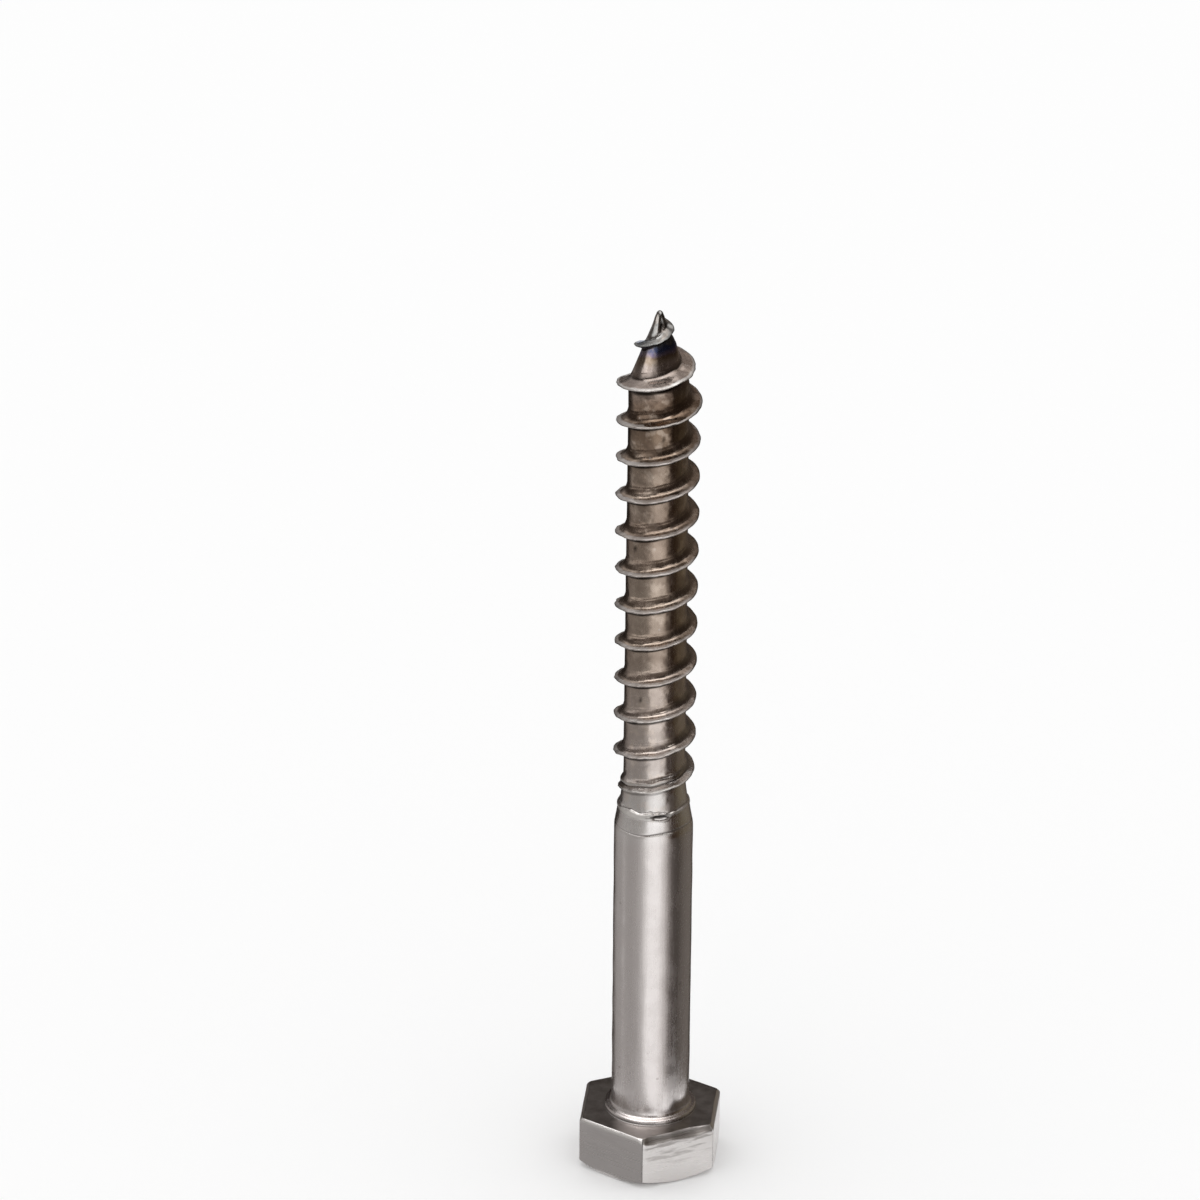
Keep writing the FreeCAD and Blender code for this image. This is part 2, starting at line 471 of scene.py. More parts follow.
# 0 outside the outer pair, and 1 inside the inner pair.
def plateau(value, outerStart, innerStart, innerEnd, outerEnd):
    return ramp(value, outerStart, innerStart) * ramp(value, outerEnd, innerEnd)


# A rise of a given middle, spread and size.
def swell(value, shape):
    middle, spread, size = shape
    return size * bell(value - middle, spread)


def curve(knots, at):
    return np.interp(at, [k[0] for k in knots], [k[1] for k in knots])


# Difference of two bearings in degrees, from -180 to 180.
def turnFrom(degrees, middle):
    return (degrees - middle + 180) % 360 - 180


# 1 where the screw's side faces a bearing, and 0 a quarter turn away and beyond.
def facing(angle, bearing):
    return np.clip(np.cos(angle - math.radians(bearing)), 0, 1)


# A soft round patch, 1 at its middle: bearing and its spread, height and its spread.
def patch(degrees, z, place):
    bearing, wide, height, tall = place
    return bell(turnFrom(degrees, bearing), wide) * bell(z - height, tall)


def coneRadius(z):
    return np.maximum((apexHeight - z) * coneSlope, screw["tipRadius"])


def carrierRadius(z):
    return np.minimum(curve(neckProfile, z), coneRadius(z))


def seatRadius(z):
    radius = np.minimum(screw["coreRadius"], coneRadius(z))
    return radius - screw["ridgeSeat"] * np.sqrt(radius / screw["coreRadius"])


def crestRadius(z):
    share = np.clip((screw["fullThread"] - z) / screw["runout"], 0, 2)
    body = crestFull - (screw["threadDepth"] + screw["ridgeSeat"] / 2) * share ** 2
    body = body + screw["upperGain"] * ramp(z, *screw["gainHeights"])
    fadeStart = tipHeight - screw["fadeLength"]
    ridgeEnd = tipHeight - screw["endGap"]
    onPoint = np.interp(z, [tipHeight - screw["pointCrest"], fadeStart, ridgeEnd, tipHeight],
                        [crestFull + screw["upperGain"], screw["fadeRadius"], screw["endCrest"], 0.0])
    return np.minimum(body, onPoint) + swell(z, screw["coneGain"])


def ridgeRise(offset):
    past = np.maximum(np.abs(offset) - screw["crestHalf"], 0)
    edge = screw["crestEdge"]
    return full - screw["flankSlope"] * (np.sqrt(past ** 2 + edge ** 2) - edge)


def smoothMax(a, b, blend):
    overlap = np.maximum(blend - np.abs(a - b), 0)
    return np.maximum(a, b) + overlap ** 2 / (4 * blend)


# A place's height less that of the crest line nearest to it.
def crestOffset(angle, z):
    pitch = screw["pitch"]
    line = tipHeight + pitch * (np.degrees(angle) - screw["tipBearing"]) / 360
    return (z - line + pitch / 2) % pitch - pitch / 2


# Places on the ridge are heights above its crest line, over the ridge's own scale. The fold's are
# millimetres above that line, and heights are millimetres up the screw.
thread = {
    # the hollow upper side: place, and how far it stands out from the core
    "hollow": [(0.3, 0.48), (0.42, 0.45), (0.54, 0.385), (0.66, 0.32), (0.8, 0.25), (0.96, 0.18),
               (1.12, 0.12), (1.26, 0.075), (1.38, 0.042), (1.47, 0.02), (1.56, 0.0)],
    "hollowHeights": (108.0, 106.5),  # in full below these
    "hollowLeft": 0.15,  # and by this share above them
    "swellPlaces": (-1.35, -0.55),  # a shallow swell under the ridge
    "swellPower": 1.5,
    "swellSize": 0.05,
    "crestHalf": 0.1,  # neither hollow nor swell reaches the crest
    "fullStanding": 0.4,  # how far the crest stands out where the masks are full
    "upperBlend": 1.5,  # the fillet above the ridge against the one below it
    "lineWander": 0.045,  # the crest line's wandering up and down, fading out midway to the next turn
    "lineFade": (2.3, 1.8),
    "coreWaves": 0.012,
    "crestRagged": 0.04,
    "wavesRadius": 2.5,  # both are less on the thin part of the point
    "shadePlaces": (0.44, 0.52, 0.86, 0.98),  # painted shade below the crest, where the ridge hides the root
    "flankPlaces": (0.55, 0.7, 1.15, 1.3),  # above it
    "foldHeights": (51.4, 52.2, 54.2, 55.6),
    "foldBulge": (0.98, 0.42, 0.3),  # middle, spread and size
    "foldCrease": (0.46, 0.13, 0.24),
    "foldShade": (0.46, 0.08, 0.9),
    "foldBright": (0.8, 0.14, 0.9),
    "shadeBearing": 20,  # painted shade: the crest's worn brightness is cut round here, below the second height
    "shadeShare": 0.7,
    "shadeHeights": (104, 98),
    "thinFrom": 103.5,  # and its worn line is thin from here up
    "thinPower": 3.5,
    "rimFront": 275,  # painted shade on the rim where it turns away from here by these degrees
    "rimTurns": (48, 73),
    "rimShade": (0, 0.085, 0.8),
    "coneHeights": (106.5, 107.3, 110.7, 111.5),
    "coneShade": (0.74, 0.24, 0.55),  # painted shade in the fold between the first ridge and the cone
    "rightHeights": (88, 70),
    "rightPlaces": (0.1, 0.3, 1.2, 1.5),
    "rightShade": 0.42,  # painted shade on the low ridges' upper side, at the right
}


# Radius of core and ridge together, and the masks of worn crest, painted shade under and round the ridge, and
# upper flank.
def threadShape(s, angle, z):
    offset = crestOffset(angle, z)
    offset = offset + s["lineWander"] * wavy["crestLine"](angle, z) * ramp(np.abs(offset), *s["lineFade"])
    crestLine = z - offset
    scale = np.maximum(crestRadius(crestLine) - seatRadius(crestLine), 0.02) / full
    place = offset / scale
    ridge = seatRadius(z) + scale * ridgeRise(place)
    standing = ramp(crestRadius(crestLine) - carrierRadius(crestLine), 0, s["fullStanding"])
    hollowed = s["hollowLeft"] + (1 - s["hollowLeft"]) * ramp(z, *s["hollowHeights"])
    above = curve(s["hollow"], place) * (place > s["crestHalf"]) * hollowed
    below = s["swellSize"] * ramp(place, *s["swellPlaces"]) ** s["swellPower"] * (place < -s["crestHalf"])
    carrier = carrierRadius(z) + standing * scale * (above + below)
    gap = np.maximum(crestRadius(crestLine) - carrier, 0.05)
    bright = np.clip((ridge - carrier) / gap, 0, 1) * standing
    # painted shade under the crest, where the ridge hides the root
    dark = plateau(-place, *s["shadePlaces"]) * standing
    flank = plateau(place, *s["flankPlaces"]) * standing
    blend = screw["rootBlend"] * np.clip(scale, 0.15, 1) * np.where(place > 0, s["upperBlend"], 1.0)
    radius = smoothMax(carrier, ridge, blend)
    # towards its start the ridge is folded: a crease above it, and a second low bulge, with painted shade in
    # the crease
    fold = plateau(crestLine, *s["foldHeights"])
    radius = radius + fold * (swell(offset, s["foldBulge"]) - swell(offset, s["foldCrease"]))
    dark = np.maximum(dark * (1 - 0.5 * fold), fold * swell(offset, s["foldShade"]))
    bright = np.maximum(bright, fold * swell(offset, s["foldBright"]))
    # painted shade: less worn brightness on the side turned to the right
    rightShaded = facing(angle, s["shadeBearing"]) * ramp(z, *s["shadeHeights"])
    bright = bright * (1 - s["shadeShare"] * rightShaded)
    bright = np.where(crestLine > s["thinFrom"], bright ** s["thinPower"], bright)
    # painted shade on the rim where it turns away from the front
    sideways = ramp(np.abs(turnFrom(np.degrees(angle), s["rimFront"])), *s["rimTurns"])
    dark = np.maximum(dark, sideways * swell(place, s["rimShade"]) * standing)
    # painted shade in the fold between the first ridge and the cone
    onCone = plateau(crestLine, *s["coneHeights"])
    dark = np.maximum(dark, onCone * swell(place, s["coneShade"]) * standing)
    # painted shade on the low ridges' upper side, at the right
    lowRight = ramp(crestLine, *s["rightHeights"]) * facing(angle, 0)
    dark = np.maximum(dark, s["rightShade"] * lowRight * plateau(place, *s["rightPlaces"]) * standing)
    uneven = s["coreWaves"] * wavy["core"](angle, z)
    uneven = uneven + s["crestRagged"] * bright * wavy["crestReach"](angle, z)
    return radius + ramp(radius, 0, s["wavesRadius"]) * uneven, bright, dark, flank


# The lip is a ragged burr, standing a little proud of the shoulder, torn open at the front right, with
# a ring groove under it. Its lines are heights at bearings. Shade is painted into the tear, the groove
# over the burr and the ring groove.
lip = {
    "top": [(0, 50.5), (196, 49.98), (212, 50.3), (234, 50.4), (256, 50.34), (267, 50.56), (278, 50.48),
            (290, 50.48), (298, 50.34), (310, 50.49), (333, 50.58), (360, 50.5)],
    "low": [(0, 50.2), (196, 49.8), (227, 49.66), (246, 49.56), (258, 49.72), (271, 49.62), (284, 49.46),
            (297, 49.5), (306, 50.1), (333, 50.35), (360, 50.2)],
    "ring": [(0, 47.9), (180, 47.62), (251, 47.61), (269, 47.8), (284, 48.0), (304, 48.12), (330, 48.1),
             (360, 47.9)],
    "ragged": (0.05, 0.04),  # how far its upper and lower lines wander
    "lowEdge": (-0.07, 0.07),  # how sharp both are
    "topEdge": (0.03, -0.03),
    "raised": (0.8, 0.3),  # its mean share of the size below, and how far that wanders
    "raisedLimits": (0.3, 1.4),
    "stands": 0.15,
    "grooveFrom": (208, 223),
    "groove": (0.16, 0.1, 0.1),  # over the burr
    "grooveShade": (0.14, 0.07, 0.6),
    "tear": (285, 16, 50.12, 0.25),
    "tearDepth": 0.36,
    "tearShade": 1.5,
    "blob": (268, 4.5, 50.08, 0.14),
    "blobRise": 0.2,
    "ledgeBearing": 234,  # the burr leans back round here
    "ledgeSpread": 26,
    "ledgeOut": (49.75, 0.26, 0.075),
    "ledgeIn": (50.45, 0.26, 0.065),
    "whiteEdge": (-0.1, 0.12, 1.0),
    "whiteLeft": (0, 28, 1.2),
    "whiteLow": (0.08, 0.09, 1.0),
    "rightBearings": (255, 275, 302, 312),
    "ringDepth": (0, 0.11, 0.085),
    "ringSwell": (-0.26, 0.15, 0.05),
    "ringWhite": (-0.22, 0.09, 0.8),
    "ringShade": (0, 0.07, 0.85),
    "ringBearing": 280,  # the ring's painted shade is strongest here
    "ringFront": (0, 40, 0.65),
    "ringElsewhere": 0.35,
}


# What the lip adds to the radius, and its bright mask and its dark mask of painted shade.
def lipShape(s, angle, z):
    degrees = np.degrees(angle) % 360
    fromTop = z - curve(s["top"], degrees) - s["ragged"][0] * wavy["lipLine"](angle, z)
    fromLow = z - curve(s["low"], degrees) - s["ragged"][1] * wavy["lipLine"](angle + 1, z)
    raised = s["raised"][0] + s["raised"][1] * wavy["lipRaise"](angle, z)
    raised = np.clip(raised, *s["raisedLimits"])
    band = ramp(fromLow, *s["lowEdge"]) * ramp(fromTop, *s["topEdge"])
    front = ramp(degrees, *s["grooveFrom"])
    right = plateau(degrees, *s["rightBearings"])
    tear, blob = patch(degrees, z, s["tear"]), patch(degrees, z, s["blob"])
    shape = raised * (s["stands"] * band - front * swell(fromTop, s["groove"]))
    shape = shape - s["tearDepth"] * tear + s["blobRise"] * blob
    fromLedge = turnFrom(degrees, s["ledgeBearing"])
    ledge = bell(fromLedge, s["ledgeSpread"])
    shape = shape + ledge * (swell(z, s["ledgeOut"]) - swell(z, s["ledgeIn"]))
    fromRing = z - curve(s["ring"], degrees)
    shape = shape - swell(fromRing, s["ringDepth"]) + right * swell(fromRing, s["ringSwell"])
    white = swell(fromTop, s["whiteEdge"]) + swell(fromLedge, s["whiteLeft"])
    white = white + right * swell(fromLow, s["whiteLow"])
    bright = band * np.clip(white, 0, 1) + blob + right * swell(fromRing, s["ringWhite"])
    inFront = s["ringElsewhere"] + swell(turnFrom(degrees, s["ringBearing"]), s["ringFront"])
    # painted shade in the tear, the groove over the burr and the ring groove
    dark = s["tearShade"] * tear + swell(fromRing, s["ringShade"]) * inFront
    dark = dark + raised * front * swell(fromTop, s["grooveShade"])
    return shape, np.clip(bright, 0, 1), np.clip(dark, 0, 1)


# The cone is fuller on its right, and its end is pinched, with a hollow right of the middle.
point = {
    "startHeights": (110.6, 111.1),
    "fullBearing": 5,
    "fullPower": 1.5,
    "fuller": (112.8, 1.2, 0.24),
    "endRise": (115.2, 0.13),  # from this height on, per millimetre
    "facets": 0.02,
    "facetTurn": 120,
    "facetHeights": (113.0, 114.0),
    "fullRadius": 0.6,  # facets and hollow are less where the point is thinner
    "leastRadius": 0.1,
    "roundness": 0.75,  # of the very tip
    "hollow": (296, 21, 115.2, 0.85),
    "hollowDepth": 0.42,
    "edge": (322, 14, 115.6, 0.9),
    "edgeRise": 0.05,
    "spine": (268, 15, 115.3, 1.1),
    "spineRise": 0.03,
    "foldOut": (0.55, 0.1, 0.07),  # along the small ridge, above its crest line
    "foldIn": (0.36, 0.08, 0.07),
    "foldHeights": (112.2, 112.8, 114.4, 115.0),
    "shadeRight": (338, 44, 0.72),
    "shadeRightHeights": (112.6, 113.4),
    "shadeTip": 0.45,
    "shadeTipHeights": (116.4, 116.7),
    "shadeHollow": (299, 20, 115.25, 1.0),
    "shadeHollowShare": 0.95,
}


def pointShape(s, angle, z, radius):
    degrees = np.degrees(angle) % 360
    right = facing(angle, s["fullBearing"]) ** s["fullPower"]
    endFrom, endSlope = s["endRise"]
    fuller = swell(z, s["fuller"]) * right + endSlope * np.clip(z - endFrom, 0, 1)
    facets = s["facets"] * np.cos(3 * angle - math.radians(s["facetTurn"])) * ramp(z, *s["facetHeights"])
    pinch = s["edgeRise"] * patch(degrees, z, s["edge"]) + s["spineRise"] * patch(degrees, z, s["spine"])
    pinch = pinch - s["hollowDepth"] * patch(degrees, z, s["hollow"])
    offset = crestOffset(angle, z)
    folds = (swell(offset, s["foldOut"]) - swell(offset, s["foldIn"])) * plateau(z, *s["foldHeights"])
    rounded = ramp(z, tipHeight - screw["tipRound"], tipHeight)
    change = fuller + (facets + pinch) * ramp(radius, 0, s["fullRadius"]) + folds
    changed = np.maximum(radius + change, s["leastRadius"])
    return changed * np.sqrt(1 - s["roundness"] * rounded ** 2) - radius


# Painted shade on the end: darker on its right and at the very tip, and nearly black in the hollow.
def pointShade(s, angle, z):
    degrees = np.degrees(angle)
    bearing, spread, share = s["shadeRight"]
    dark = share * bell(turnFrom(degrees, bearing), spread) * ramp(z, *s["shadeRightHeights"])
    dark = np.maximum(dark, s["shadeTip"] * ramp(z, *s["shadeTipHeights"]))
    return np.maximum(dark, s["shadeHollowShare"] * patch(degrees, z, s["shadeHollow"]))


# A few small dark pits in the core: bearing, height and size.
pits = [(230, 86.35, 0.32), (285, 101.3, 0.18), (262, 93.1, 0.14), (247, 65.9, 0.2), (301, 80.2, 0.16),
        (36, 74.5, 0.2), (150, 90.2, 0.2)]
pitDark = 0.95
lipHeights = (52.6, 52.0)  # the lip's part of the screw is below these
plainHeights = (9, 13, 47, 50)
plainWaves = 0.008


# What the whole of shank, lip, thread and point comes to: radius and the three masks.
def bodyShape(angle, z):
    radius, bright, dark, flank = threadShape(thread, angle, z)
    for bearing, height, size in pits:
        away = np.hypot(np.radians(turnFrom(np.degrees(angle), bearing)) * radius, z - height)
        dark = np.maximum(dark, pitDark * bell(away, size))
    atLip = ramp(z, *lipHeights)
    change, lipBright, lipShade = lipShape(lip, angle, z)
    plain = plateau(z, *plainHeights)
    radius = radius + atLip * change + plainWaves * plain * wavy["shank"](angle, z)
    radius = radius + pointShape(point, angle, z, radius) * ramp(z, *point["startHeights"])
    dark = np.maximum(dark, np.maximum(atLip * lipShade, pointShade(point, angle, z)))
    return radius, np.maximum(bright, atLip * lipBright), dark, flank


# Bearing and radius of the head's outline, with its columns gathered at the rounded corners.
def hexRim():
    perSide = columns // 6
    apothem = acrossFlats / 2
    half = apothem * math.tan(math.radians(30))
    even = np.linspace(-1, 1, perSide + 1)[:-1]
    along = half * (0.85 * np.sin(even * math.pi / 2) + 0.15 * even)
    cornerRound = screw["cornerRound"]
    flatHalf = half - cornerRound * math.tan(math.radians(30))
    bearings, radii = [], []
    for side in range(6):
        for x in along:
            past = max(abs(x) - flatHalf, 0)
            y = apothem - cornerRound + math.sqrt(cornerRound ** 2 - min(past, cornerRound) ** 2)
            bearings.append(math.radians(60 * side) + math.atan2(x, y))
            radii.append(math.hypot(x, y))
    return np.array(bearings), np.array(radii)


def ring(bearing, radius, height):
    return np.stack([radius * np.cos(bearing), radius * np.sin(bearing), height + 0 * bearing], 1)


# The bevel at the bearing face's rim is thin on the left, and wide and rolled over on the right. Its rows
# go in from the side and down from the top by shares of its width, and have bright and dark shares. The dark
# shares, used on the right only, are painted shade.
bevel = {
    "width": [(0, 0.45), (60, 0.45), (205, 0.45), (214, 0.3), (266, 0.3), (274, 0.68), (300, 0.8),
              (325, 0.72), (335, 0.45), (360, 0.45)],
    "rough": [(0, 0.3), (214, 0.3), (266, 0.3), (274, 1.0), (326, 1.0), (336, 0.3), (360, 0.3)],
    "widthWander": 0.07,
    "ragged": 0.05,
    "rightBearings": (268, 273, 327, 332),
    "rows": [(1.0, 0.02, 0.0, 0.9), (0.93, 0.07, 0.0, 0.6), (0.72, 0.25, 0.0, 0.45),
             (0.48, 0.5, 0.0, 0.35), (0.26, 0.76, 0.1, 0.3), (0.12, 0.93, 0.9, 0.0),
             (0.04, 1.04, 1.0, 0.0), (0.0, 1.14, 0.7, 0.0)],
    "faceGap": 1.04,  # the bearing face's rows end this share of the width from the side
    "leftHighlight": 0.75,
    "leftSwell": 0.03,
}
# Rows of the head's other parts, as shares of each, or as millimetres in and up where there are two.
headSteps = {
    "bearingFace": (0.05, 0.2, 0.35, 0.5, 0.65, 0.8, 0.92, 0.985),
    "sides": (0.04, 0.12, 0.22, 0.34, 0.46, 0.58, 0.72, 0.86, 0.96),
    "chamferEdge": ((0.0, 0.05), (0.006, 0.02), (0.03, -0.014)),
    "chamfer": (0.2, 0.5, 0.8),
    "endEdge": ((0.02, 0.03), (0.12, 0.006), (0.25, 0.0)),
    "endFace": (0.9, 0.75, 0.55, 0.35, 0.15, 0.03),
    "faceShade": 0.95,
    "reflectionBearing": 262,  # the bearing face's painted shade is lighter round here, as a painted reflection of the shank
    "faceReflection": (0, 22, 0.34),
    "streaks": (0.12, 0.88),  # everywhere, and more of them on the right
    "streakFade": (1.35, 1.9),  # down the sides
    "sideGap": 0.06,
    "chamferLift": 0.004,
}


# Rows from the middle of the end face, out and up the sides, and in over the bearing face. They are
# made from the last to the first.
def headRows(s, steps):
    rimBearing, rimRadius = hexRim()
    top, endRadius, footRadius = screw["headHeight"], screw["endFaceRadius"], screw["footRadius"]
    chamferSlope = math.tan(math.radians(screw["endChamferAngle"]))
    chamferTop = (rimRadius - endRadius) * chamferSlope
    degrees = np.degrees(rimBearing) % 360
    rough = curve(s["rough"], degrees)
    width = curve(s["width"], degrees) + rough * s["widthWander"] * wavy["bevelSlow"](rimBearing, 0)
    ragged = rough * s["ragged"] * wavy["bevel"](rimBearing, 0)
    onRight = plateau(degrees, *s["rightBearings"])
    lastDown = s["rows"][-1][1]
    rows, masks = [], []

    def add(bearing, radius, height, bright=0.0, dark=0.0, streaked=0.0):
        rows.append(ring(bearing, radius, height))
        masks.append([value + 0 * bearing for value in (bright, dark, streaked)])

    for share in steps["bearingFace"]:
        bearing = columnAngles + (rimBearing - columnAngles) * share
        radius = footRadius + (rimRadius - width * s["faceGap"] - footRadius) * share
        # painted shade over the bearing face, lighter where it stands for the shank's reflection
        reflectionLift = swell(turnFrom(degrees, steps["reflectionBearing"]), steps["faceReflection"])
        add(bearing, radius, top, 0.0, steps["faceShade"] - reflectionLift)
    for inward, down, bright, dark in s["rows"]:
        swollen = s["leftSwell"] * math.sin(math.pi * min(down, 1)) * (1 - rough)
        wander = ragged * (0.4 + 0.6 * down) * (down > 0.05)
        # a painted highlight along the left bevel
        onLeft = s["leftHighlight"] * (1 - onRight) * (0.1 < inward < 0.95)
        add(rimBearing, rimRadius - width * inward + swollen, top - width * down + wander,
            np.maximum(bright, onLeft), dark * onRight)
    sideTop = top - width * lastDown + ragged
    sideLow = chamferTop + steps["sideGap"]
    streaked, streakedRight = steps["streaks"]
    fadeStart, fadeRate = steps["streakFade"]
    for share in steps["sides"]:
        left = min(1.0, max(0.0, fadeStart - fadeRate * share))
        add(rimBearing, rimRadius, sideTop + (sideLow - sideTop) * share, 0.0, 0.0,
            (streaked + streakedRight * onRight) * left)
    for inward, up in steps["chamferEdge"]:
        add(rimBearing, rimRadius - inward, chamferTop + up)
    chamferStart = rimRadius - steps["chamferEdge"][-1][0]
    for share in steps["chamfer"]:
        radius = chamferStart + (endRadius - chamferStart) * share
        add(rimBearing, radius, (radius - endRadius) * chamferSlope + steps["chamferLift"])
    for inward, height in steps["endEdge"]:
        add(rimBearing, endRadius - inward + 0 * rimRadius, height)
    for share in steps["endFace"]:
        add(rimBearing, (endRadius - steps["endEdge"][-1][0]) * share + 0 * rimRadius, 0.0)
    return rows[::-1], masks[::-1]


collarShade = (7.3, 0.6)  # painted shade on the collar's upright side, up to this height, and its share
# Heights of the rows, as start, end and step, and the winding rows' places about the crest line.
shankSpans = [(9.4, 46.6, 1.1), (46.7, 49.3, 0.09), (49.3, 50.9, 0.055), (50.92, 51.85, 0.08)]
rowsBelow = [2.5, 1.8, 1.3, 1.03, 0.88, 0.75, 0.63, 0.54, 0.46, 0.37, 0.27, 0.17, 0.09, 0.04]
rowsAbove = [0.04, 0.09, 0.17, 0.26, 0.34, 0.42, 0.5, 0.6, 0.72, 0.86, 1.02, 1.18, 1.3, 1.4, 1.48, 1.56,
             1.66, 2.0]


# Rows of the collar, plain shank, shoulder, lip and neck, up to the join ring.
def shankRows(spans):
    rows, masks = [], []
    dullBelow, dull = collarShade
    none = 0 * columnAngles
    for height, radius in collarProfile:
        rows.append(ring(columnAngles, radius, height))
        # painted shade on the collar's upright side
        masks.append([none, dull * (height < dullBelow) + none, none])
    for height in np.concatenate([np.arange(*span) for span in spans] + [[screw["joinHeight"]]]):
        radius, bright, dark, flank = bodyShape(columnAngles, height + 0 * columnAngles)
        rows.append(ring(columnAngles, radius, height))
        masks.append([bright, dark, flank])
    return rows, masks


# Winding rows of the thread and point: each row meets the one a turn higher where it comes round.
def threadBlock():
    pitch, joinHeight = screw["pitch"], screw["joinHeight"]
    offsets = [-below for below in rowsBelow] + [0.0] + rowsAbove
    lift = pitch * np.arange(columns) / columns
    phase = tipHeight - pitch * (screw["tipBearing"] + 30) / 360
    turns = range(math.floor((joinHeight - phase) / pitch) - 1, math.ceil((tipHeight - phase) / pitch) + 1)
    base = np.array([phase + turn * pitch + offset for turn in turns for offset in offsets])
    winding = base[:, None] + lift[None, :]
    z = np.clip(winding, joinHeight, tipHeight)
    angle = np.broadcast_to(columnAngles[None, :], z.shape)
    return winding, z, angle, bodyShape(angle, z), len(offsets)


# The four corners of every face in a grid, counted round it.
def corners(grid):
    return np.stack([grid[:-1, :-1], grid[:-1, 1:], grid[1:, 1:], grid[1:, :-1]], 2).reshape(-1, 4)


def buildScrew():
    headPart, headMasks = headRows(bevel, headSteps)
    shankPart, shankMasks = shankRows(shankSpans)
    straight = headPart + shankPart
    index = np.arange(len(straight) * columns).reshape(-1, columns)
    faces = corners(np.concatenate([index, index[:, :1]], 1))
    kinds = np.repeat([int(row >= len(headPart)) for row in range(len(straight) - 1)], columns)
    winding, z, angle, (radius, bright, dark, flank), perTurn = threadBlock()
    index = len(straight) * columns + np.arange(z.size).reshape(z.shape)
    quads = corners(np.concatenate([index[:-perTurn], index[perTurn:, :1]], 1))
    heights = corners(np.concatenate([winding[:-perTurn], winding[perTurn:, :1]], 1))
    quads = quads[(heights.max(1) > screw["joinHeight"]) & (heights.min(1) < tipHeight)]
    block = np.stack([radius * np.cos(angle), radius * np.sin(angle), z], 2).reshape(-1, 3)
    points = np.concatenate(straight + [block])
    kinds = np.concatenate([kinds, np.ones(len(quads), int)])
    mesh = bpy.data.meshes.new("lag_screw_finished")
    mesh.from_pydata((points * mm).tolist(), [], np.concatenate([faces, quads]).tolist())
    mesh.materials.append(bpy.data.materials["headSteel"])
    mesh.materials.append(bpy.data.materials["bodySteel"])
    mesh.polygons.foreach_set("material_index", kinds)
    for which, (name, wound) in enumerate(zip(maskNames, (bright, dark, flank))):
        values = np.concatenate([masks[which] for masks in headMasks + shankMasks] + [wound.ravel()])
        mesh.attributes.new(name, "FLOAT", "POINT").data.foreach_set("value", values)
    closeSkin(mesh)
    return addPiece("lag_screw_finished", mesh)


mergeWithin = 2e-7  # metres


# Merges what coincides, closes both ends and turns every face outwards.
def closeSkin(mesh):
    bm = bmesh.new()
    bm.from_mesh(mesh)
    bmesh.ops.remove_doubles(bm, verts=bm.verts, dist=mergeWithin)
    bmesh.ops.delete(bm, geom=[v for v in bm.verts if not v.link_faces], context="VERTS")
    bmesh.ops.holes_fill(bm, edges=[e for e in bm.edges if e.is_boundary], sides=0)
    bmesh.ops.recalc_face_normals(bm, faces=bm.faces)
    bmesh.ops.triangulate(bm, faces=[f for f in bm.faces if len(f.verts) > 4])
    openEdges = sum(not e.is_manifold for e in bm.edges)
    print("skin closed, open edges", openEdges, "triangles", sum(len(f.verts) - 2 for f in bm.faces))
    bm.to_mesh(mesh)
    bm.free()
    mesh.shade_smooth()


lagScrew = buildScrew()
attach(lagScrew, "root")
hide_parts("lag_screw")
print("screw built")


# A pale floor, an even white sky, and dull cards that only the steel's gloss sees.
studio = {
    "floorSize": 3.0,
    "floorColor": (0.985, 0.985, 0.985),
    "floorRoughness": 0.9,
    "skyStrength": 1.0,
    "footReach": 9.9,  # a card's distances start this far from the axis, at half its bearing
    "steps": 90,
}
